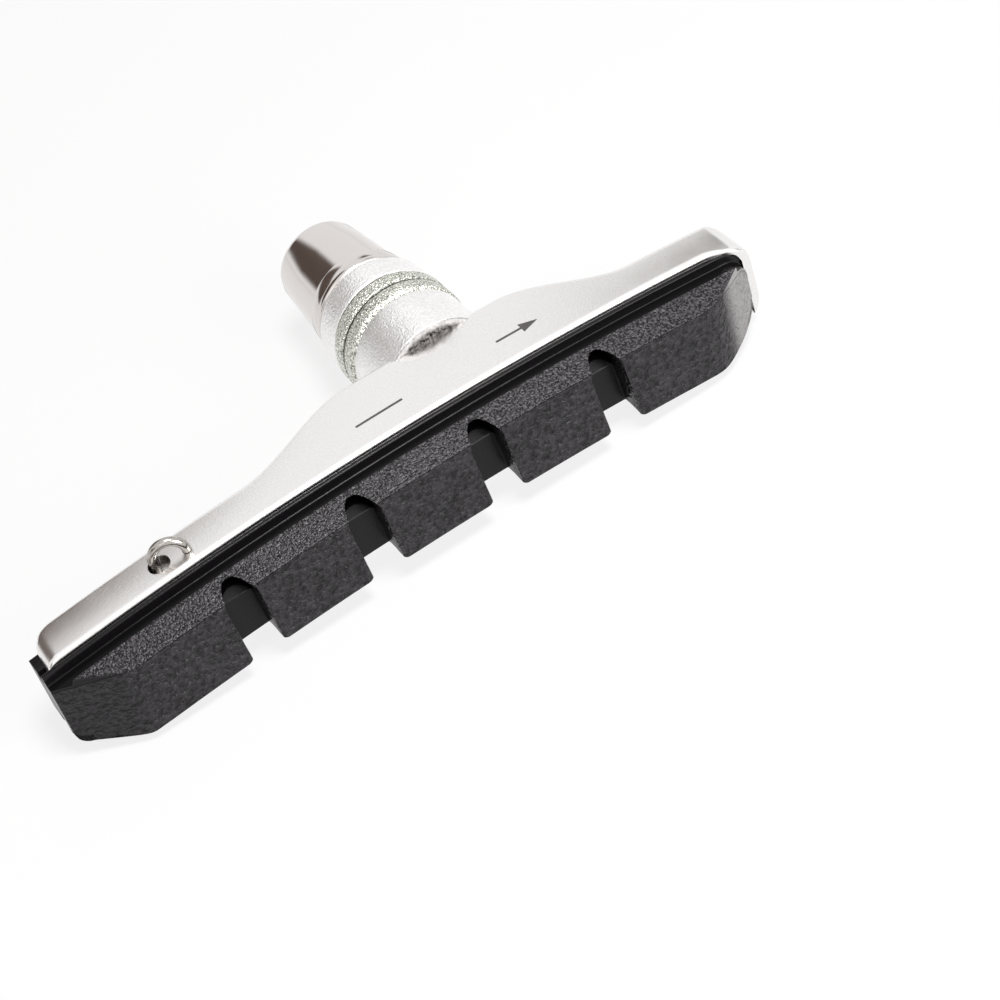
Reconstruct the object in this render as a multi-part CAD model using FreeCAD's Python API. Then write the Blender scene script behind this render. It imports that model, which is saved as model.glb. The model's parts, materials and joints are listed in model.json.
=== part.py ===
import FreeCAD, Part
import math
import os

os.makedirs("parts", exist_ok=True)
V = FreeCAD.Vector

# Frame: the stud axis is Y, from the pad to the nut; X runs to the closed front end; Z is up.
# The origin is on the stud axis where the flat faces of the two dome washers meet.

# Driving sizes of the holder, in mm
rim_radius = 300.0
holder_length = 70.3
holder_top = 4.5
holder_bottom = 4.5
stud_to_front = 27.4
seat_to_origin = 7.7
seat_recess = 0.7
seat_play = 0.2
boss_depth = 8.4
boss_to_rear = 8.7
boss_to_front = 7.1
rear_arm_depth = 4.5
front_arm_depth = 4.0
rear_sweep = 12.5
front_sweep = 11.0
rear_corner = 2.4
front_corner = 1.7
end_round = 1.3
front_low_round = 3.0
edge_bevel = 0.45
channel_wall = 0.9
channel_lip = 1.0
channel_depth = 3.1
lip_overhang = 0.8
end_wall = 0.8
end_wall_reach = 0.9

# Driving sizes of the pad
pad_clearance = 0.1
pad_overhang = 0.75
flange_thickness = 0.55
flange_top_inset = 0.45
flange_bottom_inset = 0.65
groove_top_inset = 1.4
groove_bottom_inset = 1.9
block_top_inset = 0.75
block_bottom_inset = 1.3
block_back = 2.4
block_front = 4.9
face_top = 2.8
face_bottom = 4.4
ramp_length = 6.0
ramp_back = 1.4
slot_spacing = 12.2
slot_width = 3.0
slot_depth = 2.1
slot_to_stud = 8.4
slot_top = 3.6
slot_lean = 2.5

# Driving sizes of the stud and its washers
stud_diameter = 6.0
stud_head_diameter = 8.6
stud_head = 1.6
dome_diameter = 12.0
dome_edge = 1.5
dome_radius = 9.0
dome_bore = 8.4
flat_gap = 0.04
cup_clearance = 0.1
cup_bore = 6.16
inner_cup_diameter = 11.7
outer_cup_diameter = 11.6
outer_cup_length = 3.5
cup_rim_land = 0.27
cup_chamfer = 0.7
washer_diameter = 10.9
washer_thickness = 0.8

# Driving sizes of the nut
nut_length = 9.6
nut_diameter = 10.4
nut_band = 1.5
nut_tip_diameter = 8.8
nut_round = 0.6
nut_bore_clearance = 0.06
nut_engagement = 5.5
socket_flats = 5.0
socket_depth = 3.7

# Driving sizes of the retaining pin
wire_diameter = 0.85
pin_hole = 1.8
pin_hole_x = -30.5
pin_from_lip = 2.4
pin_lean = 0.4
pin_below = 1.2
loop_radius = 1.5
loop_rise = 0.3
loop_turn = -17.0

# Levels along the stud axis and ends of the shoe
seat_y = -seat_to_origin
lip_y = seat_y + seat_recess - boss_depth
front_x = stud_to_front
rear_x = stud_to_front - holder_length
wall_x = front_x - end_wall
arc_x = -slot_to_stud
arc_z = -math.sqrt(rim_radius ** 2 - arc_x ** 2)


def on_arc(x, offset, y):
    """Point over x on the arc that lies offset above the middle line of the shoe."""
    return V(x, y, arc_z + math.sqrt((rim_radius + offset) ** 2 - (x - arc_x) ** 2))


def band_wire(top, bottom, x0, x1, y):
    """Closed outline of a band that follows the rim, in the plane at y."""
    xs = (x0, (x0 + x1) / 2, x1)
    high = [on_arc(x, top, y) for x in xs]
    low = [on_arc(x, -bottom, y) for x in reversed(xs)]
    edges = [Part.Arc(*high).toShape()]
    edges.append(Part.makeLine(high[2], low[0]))
    edges.append(Part.Arc(*low).toShape())
    edges.append(Part.makeLine(low[2], high[0]))
    return Part.Wire(edges)


def band(top, bottom, x0, x1, y0, y1):
    """Solid band that follows the rim from x0 to x1 and from y0 to y1."""
    face = Part.Face(band_wire(top, bottom, x0, x1, y0))
    return face.extrude(V(0, y1 - y0, 0))


def end_trim(x, side, rise, radius):
    """Cutter that rounds one end corner of the shoe, seen from the pad side."""
    up = math.copysign(1, rise)
    corner = on_arc(x, rise, -40)
    turn = V(x - side * radius, -40, corner.z - up * radius)
    size = 3 * radius
    low = V(min(turn.x, turn.x + side * size), -40, min(turn.z, turn.z + up * size))
    box = Part.makeBox(size, 60, size, low)
    return box.cut(Part.makeCylinder(radius, 60, turn, V(0, 1, 0)))


def turned(points):
    """Solid of revolution about the stud axis from (radius, y) points."""
    wire = Part.makePolygon([V(r, y, 0) for r, y in points + points[:1]])
    return Part.Face(wire).revolve(V(0, 0, 0), V(0, 1, 0), 360)


def rod(radius, y0, y1):
    """Cylinder on the stud axis."""
    return Part.makeCylinder(radius, y1 - y0, V(0, y0, 0), V(0, 1, 0))


def ease(t):
    """Smooth step from 0 to 1."""
    return t * t * (3 - 2 * t)


# Plan outline of the holder: straight front lip, straight arms and two sweeps out to the boss
def sweep(x0, x1, depth0, depth1):
    """Smooth curve in plan between two depths behind the lip."""
    steps = (0.0, 0.2, 0.4, 0.6, 0.8, 1.0)
    curve = Part.BSplineCurve()
    curve.interpolate(
        Points=[
            V(x0 + t * (x1 - x0), lip_y + depth0 + ease(t) * (depth1 - depth0), 0) for t in steps
        ],
        InitialTangent=V(1, 0, 0),
        FinalTangent=V(1, 0, 0),
    )
    return curve.toShape()


corners = [V(-boss_to_rear, lip_y + boss_depth, 0)]
corners.append(V(boss_to_front, lip_y + boss_depth, 0))
corners.append(V(boss_to_front + front_sweep, lip_y + front_arm_depth, 0))
corners.append(V(front_x + 3, lip_y + front_arm_depth, 0))
corners.append(V(front_x + 3, lip_y, 0))
corners.append(V(rear_x - 3, lip_y, 0))
corners.append(V(rear_x - 3, lip_y + rear_arm_depth, 0))
corners.append(V(-boss_to_rear - rear_sweep, lip_y + rear_arm_depth, 0))
plan = [Part.makeLine(corners[0], corners[1])]
plan.append(sweep(corners[1].x, corners[2].x, boss_depth, front_arm_depth))
for i in range(2, 7):
    plan.append(Part.makeLine(corners[i], corners[i + 1]))
plan.append(sweep(corners[7].x, corners[0].x, rear_arm_depth, boss_depth))
prism = Part.Face(Part.Wire(plan)).extrude(V(0, 0, 40))
prism.translate(V(0, 0, -20))

# Shoe holder: the plan prism cut to the curved band, with rounded ends and bevelled outer edges
outer = band(holder_top, holder_bottom, rear_x, front_x, lip_y - 5, lip_y + 20)
holder = outer.common(prism)
for side, depth, radius in ((-1, rear_arm_depth, rear_corner), (1, front_arm_depth, front_corner)):
    uprights = []
    for edge in holder.Edges:
        mid = edge.CenterOfMass
        upright = edge.BoundBox.ZLength > 5 and abs(mid.y - lip_y - depth) < 0.01
        if upright and side * (mid.x - arc_x) > 20:
            uprights.append(edge)
    holder = holder.makeFillet(radius, uprights)
bevel_edges = []
for edge in holder.Edges:
    span = edge.LastParameter - edge.FirstParameter
    spots = [edge.valueAt(edge.FirstParameter + f * span) for f in (0.3, 0.7)]
    rises = [math.hypot(s.x - arc_x, s.z - arc_z) - rim_radius for s in spots]
    on_top = all(abs(r - holder_top) < 1e-3 for r in rises)
    on_bottom = all(abs(r + holder_bottom) < 1e-3 for r in rises)
    at_lip = all(s.y < lip_y + 1e-3 for s in spots)
    if (on_top or on_bottom) and not at_lip:
        bevel_edges.append(edge)
holder = holder.makeChamfer(edge_bevel, bevel_edges)
end_cap = band(holder_top, holder_bottom, wall_x, front_x, lip_y - end_wall_reach, lip_y + 0.5)
holder = holder.fuse(end_cap).removeSplitter()
for end_x, side, low_round in ((rear_x, -1, end_round), (front_x, 1, front_low_round)):
    holder = holder.cut(end_trim(end_x, side, holder_top, end_round))
    holder = holder.cut(end_trim(end_x, side, -holder_bottom, low_round))
inner_top = holder_top - channel_wall
inner_bottom = holder_bottom - channel_wall
open_top = inner_top - lip_overhang
open_bottom = inner_bottom - lip_overhang
channel = band(inner_top, inner_bottom, rear_x - 2, wall_x, lip_y + channel_lip, lip_y + channel_depth)
opening = band(open_top, open_bottom, rear_x - 2, wall_x, lip_y - 6, lip_y + channel_lip + 0.05)
holder = holder.cut(channel).cut(opening)
holder = holder.cut(rod(inner_cup_diameter / 2 + seat_play, seat_y, seat_y + 4))
head_back = lip_y + channel_depth + stud_head
holder = holder.cut(rod(stud_head_diameter / 2, lip_y + channel_depth - 0.5, head_back))
holder = holder.cut(rod(stud_diameter / 2, head_back - 0.5, seat_y + 1))
pin_y = lip_y + pin_from_lip
holder = holder.cut(Part.makeCylinder(pin_hole / 2, 30, V(pin_hole_x, pin_y, -15), V(0, 0, 1)))
holder.exportStep("parts/shoe_holder.step")

# Pad insert: base in the channel, neck, flange, groove and the block with its slots
pad_rear = rear_x - pad_overhang
pad_front = wall_x - pad_clearance
base = band(
    inner_top - pad_clearance,
    inner_bottom - pad_clearance,
    pad_rear,
    pad_front,
    lip_y + channel_lip + pad_clearance,
    lip_y + channel_depth - pad_clearance,
)
neck = band(
    open_top - pad_clearance,
    open_bottom - pad_clearance,
    pad_rear,
    pad_front,
    lip_y - pad_clearance - 0.1,
    lip_y + channel_lip + pad_clearance + 0.1,
)
flange_y = lip_y - pad_clearance - flange_thickness
flange = band(
    holder_top - flange_top_inset,
    holder_bottom - flange_bottom_inset,
    pad_rear,
    pad_front,
    flange_y,
    lip_y - pad_clearance,
)
groove = band(
    holder_top - groove_top_inset,
    holder_bottom - groove_bottom_inset,
    pad_rear,
    pad_front,
    lip_y - block_back - 0.05,
    flange_y + 0.05,
)
back_top = holder_top - block_top_inset
back_bottom = holder_bottom - block_bottom_inset
block = Part.makeLoft(
    [
        band_wire(back_top, back_bottom, pad_rear, pad_front, lip_y - block_back),
        band_wire(face_top, face_bottom, pad_rear, pad_front, lip_y - block_front),
    ],
    True,
    True,
)
floor_y = lip_y - block_front + slot_depth
slot_half = slot_width / 2
for i in range(4):
    arch_at = V(0, floor_y - block_front, slot_top - slot_half)
    trough = Part.makeBox(slot_width, block_front, 20, arch_at - V(slot_half, 0, 20))
    arch = Part.makeCylinder(slot_half, block_front, arch_at, V(0, 1, 0))
    cutter = trough.fuse(arch).removeSplitter()
    cutter.rotate(V(0, 0, 0), V(0, 1, 0), -slot_lean)
    cutter.translate(on_arc(arc_x + (i - 1.5) * slot_spacing, 0, 0))
    block = block.cut(cutter)
pad = base.fuse([neck, flange, groove, block]).removeSplitter()
for end_x, side in ((pad_rear, -1), (pad_front, 1)):
    rise = block_front - ramp_back
    corners = [V(end_x, lip_y - ramp_back, -20)]
    corners.append(V(end_x - side * ramp_length * (rise + 2) / rise, lip_y - block_front - 2, -20))
    corners.append(V(end_x + side * 2, lip_y - block_front - 2, -20))
    corners.append(V(end_x + side * 2, lip_y - ramp_back, -20))
    wedge = Part.Face(Part.makePolygon(corners + corners[:1])).extrude(V(0, 0, 40))
    wedge.rotate(V(end_x, lip_y, 0), V(0, 1, 0), slot_lean)
    pad = pad.cut(wedge)
notch = Part.makeBox(pin_hole, 4, 20, V(pin_hole_x - pin_hole / 2, pin_y, -10))
notch = notch.fuse(Part.makeCylinder(pin_hole / 2, 20, V(pin_hole_x, pin_y, -10), V(0, 0, 1)))
pad = pad.cut(notch)
pad.exportStep("parts/pad_insert.step")

# Mounting stud: head in the channel's back wall, shank through the boss, threaded end in the nut
dome_rise = dome_radius - math.sqrt(dome_radius ** 2 - (dome_diameter / 2) ** 2)
ball_y = dome_radius - dome_rise - dome_edge
cup_radius = dome_radius + cup_clearance
rim_inner = inner_cup_diameter / 2 - cup_rim_land
cup_rim_y = ball_y - math.sqrt(cup_radius ** 2 - rim_inner ** 2)
washer_y = -cup_rim_y + outer_cup_length
nut_y = washer_y + washer_thickness
stud_end = nut_y + nut_engagement
shank = stud_diameter / 2
head_front = lip_y + channel_depth
stud_tip = 0.6
stud = turned([
    (0, head_front),
    (stud_head_diameter / 2, head_front),
    (stud_head_diameter / 2, head_back),
    (shank, head_back),
    (shank, stud_end - stud_tip),
    (shank - stud_tip, stud_end),
    (0, stud_end),
])
stud.exportStep("parts/mounting_stud.step")

# Inner cup washer: cylinder on the boss with a spherical cup open to the nut
cup_ball = Part.makeSphere(cup_radius, V(0, ball_y, 0))
inner_cup = rod(inner_cup_diameter / 2, seat_y, cup_rim_y).cut(cup_ball)
inner_cup = inner_cup.cut(rod(cup_bore / 2, seat_y - 1, 1))
inner_cup.exportStep("parts/inner_cup_washer.step")

# Dome washers: flat on the arm side, spherical on the cup side
dome_body = rod(dome_diameter / 2, -10, -flat_gap / 2)
dome = dome_body.common(Part.makeSphere(dome_radius, V(0, ball_y, 0)))
dome = dome.cut(rod(dome_bore / 2, -20, 1))
dome.exportStep("parts/inner_dome_washer.step")
turned_dome = dome.copy()
turned_dome.rotate(V(0, 0, 0), V(0, 0, 1), 180)
turned_dome.exportStep("parts/outer_dome_washer.step")

# Outer cup washer: the thin cup, chamfered towards the nut
outer_body = turned([
    (0, -cup_rim_y),
    (outer_cup_diameter / 2, -cup_rim_y),
    (outer_cup_diameter / 2, washer_y - cup_chamfer),
    (outer_cup_diameter / 2 - cup_chamfer, washer_y),
    (0, washer_y),
])
outer_ball = Part.makeSphere(cup_radius, V(0, -ball_y, 0))
outer_cup = outer_body.cut(outer_ball).cut(rod(cup_bore / 2, -1, washer_y + 1))
outer_cup.exportStep("parts/outer_cup_washer.step")

# Flat washer under the nut
washer = rod(washer_diameter / 2, washer_y, nut_y).cut(rod(cup_bore / 2, washer_y - 1, nut_y + 1))
washer.exportStep("parts/flat_washer.step")

# Stud nut: band, long taper, rounded tip, threaded bore and hexagon socket
nut_end = nut_y + nut_length
tip = nut_tip_diameter / 2
nut = turned([
    (0, nut_y),
    (nut_diameter / 2 - 0.2, nut_y),
    (nut_diameter / 2, nut_y + 0.2),
    (nut_diameter / 2, nut_y + nut_band),
    (nut_diameter / 2 - 0.15, nut_y + nut_band + 0.1),
    (tip, nut_end - nut_round),
    (tip - nut_round * 0.6, nut_end),
    (0, nut_end),
])
socket_floor = nut_end - socket_depth
nut = nut.cut(rod(shank + nut_bore_clearance, nut_y - 1, stud_end + 0.2))
nut = nut.cut(rod(socket_flats / 2 - 0.1, nut_y, nut_end))
corner = socket_flats / math.sqrt(3)
hexagon = Part.makePolygon([
    V(corner * math.cos(math.radians(60 * i)), socket_floor, corner * math.sin(math.radians(60 * i)))
    for i in range(7)
])
nut = nut.cut(Part.Face(hexagon).extrude(V(0, socket_depth + 1, 0)))
lead = Part.makeCone(corner - 0.4, corner + 0.1, 0.5, V(0, nut_end - 0.5, 0), V(0, 1, 0))
nut = nut.cut(lead)
nut.exportStep("parts/stud_nut.step")

# Retaining pin: straight leg through the holder and a loop over its top face
leg_x = pin_hole_x - pin_lean
top_z = on_arc(leg_x, holder_top, 0).z
low_z = on_arc(leg_x, -holder_bottom, 0).z - pin_below
bend_z = top_z + loop_rise
aim = V(math.cos(math.radians(loop_turn)), math.sin(math.radians(loop_turn)), 0)
leg_low = V(leg_x, pin_y, low_z)
leg_high = V(leg_x, pin_y, bend_z)
crown = leg_high + aim * loop_radius + V(0, 0, loop_radius)
far = leg_high + aim * (2 * loop_radius)
foot_low = V(far.x, far.y, on_arc(far.x, holder_top, 0).z + 0.05)
path = Part.Wire([
    Part.makeLine(leg_low, leg_high),
    Part.Arc(leg_high, crown, far).toShape(),
    Part.makeLine(far, foot_low),
])
section = Part.Wire(Part.makeCircle(wire_diameter / 2, leg_low, V(0, 0, 1)))
pin = path.makePipeShell([section], True, False)
pin.exportStep("parts/retaining_pin.step")
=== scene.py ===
# %% [markdown]
# # A V-brake shoe, dressed on its solid frame
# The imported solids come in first, in metres, and nothing moves them afterwards.
# Every piece below is worked out in millimetres in the same frame: the stud lies along Y,
# the shoe runs along X to its closed front end, and Z is up, away from the wheel's hub.

# %% Load the frame
import json
import math
import bmesh
import bpy
import numpy as np
from mathutils import Matrix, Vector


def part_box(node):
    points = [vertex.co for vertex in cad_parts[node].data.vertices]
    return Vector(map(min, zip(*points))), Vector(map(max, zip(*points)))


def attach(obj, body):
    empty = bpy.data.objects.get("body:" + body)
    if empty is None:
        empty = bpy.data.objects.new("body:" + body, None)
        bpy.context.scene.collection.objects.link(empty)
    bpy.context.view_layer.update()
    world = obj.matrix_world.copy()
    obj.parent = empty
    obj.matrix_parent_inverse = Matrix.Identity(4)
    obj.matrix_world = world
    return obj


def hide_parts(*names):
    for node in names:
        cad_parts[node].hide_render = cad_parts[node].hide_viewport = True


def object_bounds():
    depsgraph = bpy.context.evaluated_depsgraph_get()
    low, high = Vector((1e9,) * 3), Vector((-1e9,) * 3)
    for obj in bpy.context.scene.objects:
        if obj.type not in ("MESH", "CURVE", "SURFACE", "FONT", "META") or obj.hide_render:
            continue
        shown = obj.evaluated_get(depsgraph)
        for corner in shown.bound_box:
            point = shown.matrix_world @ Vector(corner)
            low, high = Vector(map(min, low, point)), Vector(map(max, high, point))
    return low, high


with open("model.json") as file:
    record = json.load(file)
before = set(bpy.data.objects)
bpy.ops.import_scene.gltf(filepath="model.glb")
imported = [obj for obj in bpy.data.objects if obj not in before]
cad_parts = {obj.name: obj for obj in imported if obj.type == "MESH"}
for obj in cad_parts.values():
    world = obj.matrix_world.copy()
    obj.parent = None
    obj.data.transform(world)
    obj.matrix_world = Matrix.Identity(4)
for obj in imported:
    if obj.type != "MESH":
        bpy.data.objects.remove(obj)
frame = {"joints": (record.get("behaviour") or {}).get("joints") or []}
cad_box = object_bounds()
MM = 0.001
print("solids in mm:", np.round(np.array(cad_box) / MM, 2).tolist())

# %% [markdown]
# ## Levels and ends
# A brake shoe is a stack of pieces on one stud, so a few levels along the stud place them all.
# They are read from the solids' boxes, so the dressed pieces keep to the solids.

# %% Levels along the stud and ends of the shoe, in millimetres
def box_mm(node):
    """Lowest and highest corner of a solid, in millimetres."""
    return [np.array(corner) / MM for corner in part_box(node)]


holder_low, holder_high = box_mm("shoe_holder")
pad_low, pad_high = box_mm("pad_insert")
REAR, FRONT = holder_low[0], holder_high[0]
PAD_REAR, PAD_FRONT, PAD_FACE = pad_low[0], pad_high[0], pad_low[1]
STAND, HALF = 4.9, 4.5  # the pad's face before the holder's lip, and half the holder's height
LIP, WALL = PAD_FACE + STAND, FRONT - 0.8
SEAT, CUP_RIM = box_mm("inner_cup_washer")[0][1], -box_mm("inner_cup_washer")[1][1]
WASHER, NUT = box_mm("flat_washer")[0][1], box_mm("flat_washer")[1][1]
STUD_END, NUT_END = box_mm("mounting_stud")[1][1], box_mm("stud_nut")[1][1]
CUP_R, DOME_R, OUTER_R = (box_mm(n)[1][0] for n in ("inner_cup_washer", "inner_dome_washer", "outer_cup_washer"))
BALL = next(j["pos_m"][1] for j in frame["joints"] if j["name"] == "toe_tilt") / MM
RIM_RADIUS, ARC_X = 300.0, (REAR + FRONT) / 2 - 0.65
ARC_Z = -math.sqrt(RIM_RADIUS ** 2 - ARC_X ** 2)
HOLE_X, HOLE_IN = REAR + 12.4, 2.4  # the pin's hole, from the rear end and from the lip
print("levels along the stud:", np.round([LIP, SEAT, CUP_RIM, WASHER, NUT, STUD_END, NUT_END], 3))
print("radii of the washers:", np.round([CUP_R, DOME_R, OUTER_R], 3), "ball centre", round(BALL, 4))


def on_arc(x, rise):
    """Height over x of the arc that lies rise above the shoe's middle line: a circle about the wheel's hub."""
    return ARC_Z + np.sqrt((RIM_RADIUS + rise) ** 2 - (x - ARC_X) ** 2)


def smooth(t):
    """Smooth step: 0 below 0, 1 above 1, three t squared minus two t cubed between."""
    t = np.clip(t, 0.0, 1.0)
    return t * t * (3.0 - 2.0 * t)


def drop(distance, radius):
    """How far a round of this radius has fallen at a distance from the end: radius less the circle's height."""
    inside = np.clip(radius - distance, 0.0, radius)
    return radius - np.sqrt(radius ** 2 - inside ** 2)


# %% [markdown]
# ## From a grid of points to a mesh
# Every piece here is a grid: rows follow a path, columns go round a section. One function turns such
# a grid into a mesh. Points that fall together are merged, so poles and collapsed sides are closed.
# Blender's own shapes and modifiers could give some of the pieces, but on a grid every point is known, so it
# can carry numbers, called marks, that tell a finish where a hole, a groove or a shaded side is.


# %% Grid to mesh
def piece(name, grid, wrap_rows=False, wrap_columns=True, caps=False, sharp=42.0, marks=None):
    """Mesh of a grid of points in millimetres: each four neighbours become one face. Marks are numbers per
    point that a finish can read."""
    rows, columns = grid.shape[:2]
    number = np.arange(rows * columns).reshape(rows, columns)
    if wrap_rows:
        number = np.vstack([number, number[:1]])
    if wrap_columns:
        number = np.hstack([number, number[:, :1]])
    a, b, c, d = number[:-1, :-1], number[1:, :-1], number[1:, 1:], number[:-1, 1:]
    faces = np.stack([a, b, c, d], axis=-1).reshape(-1, 4).tolist()
    if caps:
        faces.append(number[0, :columns].tolist())
        faces.append(number[-1, :columns][::-1].tolist())
    mesh = bpy.data.meshes.new(name)
    mesh.from_pydata((grid.reshape(-1, 3) * MM).tolist(), [], faces)
    for mark, values in (marks or {}).items():
        mesh.attributes.new(mark, "FLOAT", "POINT").data.foreach_set("value", values.ravel().astype(np.float32))
    work = bmesh.new()
    work.from_mesh(mesh)
    bmesh.ops.remove_doubles(work, verts=work.verts, dist=1e-7)
    bmesh.ops.dissolve_degenerate(work, edges=work.edges, dist=1e-8)
    bmesh.ops.recalc_face_normals(work, faces=work.faces)
    work.to_mesh(mesh)
    work.free()
    mesh.polygons.foreach_set("use_smooth", np.ones(len(mesh.polygons), dtype=bool))
    mesh.set_sharp_from_angle(angle=math.radians(sharp))
    made = bpy.data.objects.new(name, mesh)
    bpy.context.scene.collection.objects.link(made)
    print(name, len(mesh.polygons), "faces")
    return made


def rounded(corners, radius, sides, arc=4):
    """Closed sections with soft corners: near each corner the outline leaves its side at radius from the
    corner and follows a quadratic curve to the next side, which is divided evenly. Corners are (n, k, 2)."""
    back = np.roll(corners, 1, axis=1) - corners
    ahead = np.roll(corners, -1, axis=1) - corners
    back_length = np.linalg.norm(back, axis=2, keepdims=True) + 1e-9
    ahead_length = np.linalg.norm(ahead, axis=2, keepdims=True) + 1e-9
    cut = np.minimum(np.reshape(radius, (1, -1, 1)), 0.45 * np.minimum(back_length, ahead_length))
    start = corners + back / back_length * cut
    end = corners + ahead / ahead_length * cut
    t = np.linspace(0.0, 1.0, arc)[None, :, None]
    parts = []
    for k, count in enumerate(sides):
        after = (k + 1) % len(sides)
        s = (np.arange(1, count) / count)[None, :, None]
        bend = (1 - t) ** 2 * start[:, k, None] + 2 * t * (1 - t) * corners[:, k, None] + t ** 2 * end[:, k, None]
        parts.append(bend)
        parts.append(end[:, k, None] * (1 - s) + start[:, after, None] * s)
    return np.concatenate(parts, axis=1)


def lathe(name, profile, radius, steps=144, sharp=42.0, shade=None):
    """Ring on the stud axis: a closed (radius, y) profile with soft corners, turned about Y. Shade, where given,
    is a mark worked out from radius and y."""
    corners = np.array(profile, dtype=float)[None]
    outline = rounded(corners, np.broadcast_to(radius, len(profile)), [3] * len(profile))[0]
    turn = np.linspace(0.0, 2 * np.pi, steps, endpoint=False)[:, None]
    r, y = outline[None, :, 0], outline[None, :, 1]
    grid = np.stack([r * np.sin(turn), y + 0 * turn, r * np.cos(turn)], axis=-1)
    marks = {"shade": shade(r, y) + 0 * turn} if shade else None
    return piece(name, grid, wrap_rows=True, sharp=sharp, marks=marks)


# %% [markdown]
# ## The shoe holder
# The real holder is one aluminium casting: a long channel that follows the rim, with a boss for the stud.
# A section carried along X gives it: the section's back side follows the S-shaped plan, its top and bottom
# drop at the ends, and inside the front wall the channel folds flat, which closes the end. Boolean cuts from a
# block are the other way, but they leave ragged faces, and a polished surface shows those at once.

# %% Stations along the shoe holder
REAR_ROUND, FRONT_ROUND = 2.4, 3.0  # the largest round of each end, where the stations lie closer
end_steps = 1.0 - np.cos(np.linspace(0.0, np.pi / 2, 14))
front_steps = FRONT - FRONT_ROUND * end_steps
stations = np.unique(np.concatenate([
    REAR + REAR_ROUND * end_steps,
    np.linspace(REAR + REAR_ROUND, WALL - 0.005, 360),
    np.linspace(HOLE_X - 1.25, HOLE_X + 1.05, 47),
    [WALL],
    front_steps[front_steps > WALL],
]))
print(len(stations), "stations along the holder")

# %% Depth and height of the holder at each station
REAR_DEPTH, FRONT_DEPTH = 4.5, 4.0
REAR_GAIN, FRONT_GAIN = 3.9, 4.4  # what the boss adds to the depth of each end
to_rear, to_front = stations - REAR, FRONT - stations
rise_rear = smooth((stations + 21.2) / 12.5)
rise_front = smooth((18.1 - stations) / 11.0)
depth = np.where(stations < -0.8, REAR_DEPTH + REAR_GAIN * rise_rear, FRONT_DEPTH + FRONT_GAIN * rise_front)
depth = depth - drop(to_rear, REAR_ROUND) - drop(to_front, 1.7)
top = HALF - drop(to_rear, 1.3) - drop(to_front, 1.6)
low = -HALF + drop(to_rear, 1.3) + drop(to_front, FRONT_ROUND)
print("depth of the holder:", round(float(depth.min()), 2), "to", round(float(depth.max()), 2), "mm")

# %% Channel of the holder, and the metal rim at its front corner
CHANNEL, CHANNEL_IN, MOUTH = 3.6, 3.1, 2.8  # half height and depth of the channel, half height of its mouth
RIM, FLANGE_TOP = 0.9, 4.05  # how far the rim stands before the lip, and the top of the pad's flange
inner_top, inner_low = np.minimum(CHANNEL, top - 0.2), np.maximum(-CHANNEL, low + 0.2)
inner_depth = np.minimum(CHANNEL_IN, depth - 0.2)
mouth_top, mouth_low = np.minimum(MOUTH, inner_top - 0.1), np.maximum(-MOUTH, inner_low + 0.1)
mouth_top = mouth_top - drop(WALL - stations, 1.2)
zero, lip_in = 0 * stations, 1.0 + 0 * stations
near_wall = smooth((stations - WALL + 3.2) / 3.1)
rim = -RIM * near_wall
flange_top = FLANGE_TOP - drop(PAD_FRONT - stations, 1.5)
rim_low = np.minimum((mouth_top + 0.25) * (1 - near_wall) + (flange_top + 0.12) * near_wall, top - 0.15)
holder_corners = [
    (zero, mouth_top), (rim, rim_low), (rim, top), (depth, top), (depth, low), (rim, low), (zero, mouth_low),
    (lip_in, mouth_low), (lip_in, inner_low), (inner_depth, inner_low), (inner_depth, inner_top),
    (lip_in, inner_top), (lip_in, mouth_top),
]
holder_section = np.stack([np.stack(corner, axis=-1) for corner in holder_corners], axis=1)
print("sections and their corners:", holder_section.shape[:2])

# %% Closed front wall, where the corners of the channel fold to a flat fan
in_wall = stations >= WALL - 1e-6
flat_rise = np.array([1.0, 1.1, 0, 0, 0, 0, -1.0, -0.9, -0.8, -0.7, 0.7, 0.8, 0.9])
folded = np.array([0, 1, 6, 7, 8, 9, 10, 11, 12])
holder_section[np.ix_(in_wall, folded, [1])] = flat_rise[folded][None, :, None]
holder_section[np.ix_(in_wall, np.append(folded, [2, 5]), [0])] = -RIM
print(int(in_wall.sum()), "sections lie in the wall")

# %% Shoe holder from its sections, with the cup's seat and the pin's hole
CROWN, HOLE_DEEP = 0.07, 1.5
edge_round = [0.1, 0.1, 0.42, 0.6, 0.6, 0.42, 0.1, 0.08, 0.08, 0.1, 0.1, 0.08, 0.08]
holder_sides = [2, 5, 44, 46, 24, 5, 2, 2, 3, 6, 3, 2, 2]
outline = rounded(holder_section, edge_round, holder_sides, arc=5)
x = np.broadcast_to(stations[:, None], outline.shape[:2])
behind_lip, rise = outline[..., 0].copy(), outline[..., 1].copy()
in_seat = smooth((CUP_R + 0.28 - np.hypot(x, on_arc(x, rise))) / 0.16)
behind_lip -= in_seat * np.maximum(behind_lip - (SEAT - LIP), 0.0)
in_hole = smooth((1.0 - np.hypot(x - HOLE_X + 0.1, behind_lip - HOLE_IN + 0.38)) / 0.1)
across_top = (2 * behind_lip / depth[:, None] - 1.0) ** 2
skin = np.abs(rise) > 4.3
rise -= CROWN * across_top * smooth((rise - 3.6) / 0.6)
rise -= np.where(skin, np.sign(rise) * HOLE_DEEP * in_hole, 0.0)
# The hole mark tells the finish where to paint the shade inside the pin's hole.
holder = piece(
    "holder_casting", np.stack([x, LIP + behind_lip, on_arc(x, rise)], axis=-1), caps=True,
    marks={"hole": np.minimum(3.0 * in_hole, 1.0) * skin},
)

# %% [markdown]
# ## The pad insert
# The pad is moulded rubber with a T-shaped root in the channel, a thin flange on the lip and a block with four
# drain slots. It is again a section carried along X. A front limit pushes points back where a slot or an end
# ramp is, like a tool pressed into the block, which leaves the small soft edges of a moulding. Boolean slots
# would have knife edges instead.

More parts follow.
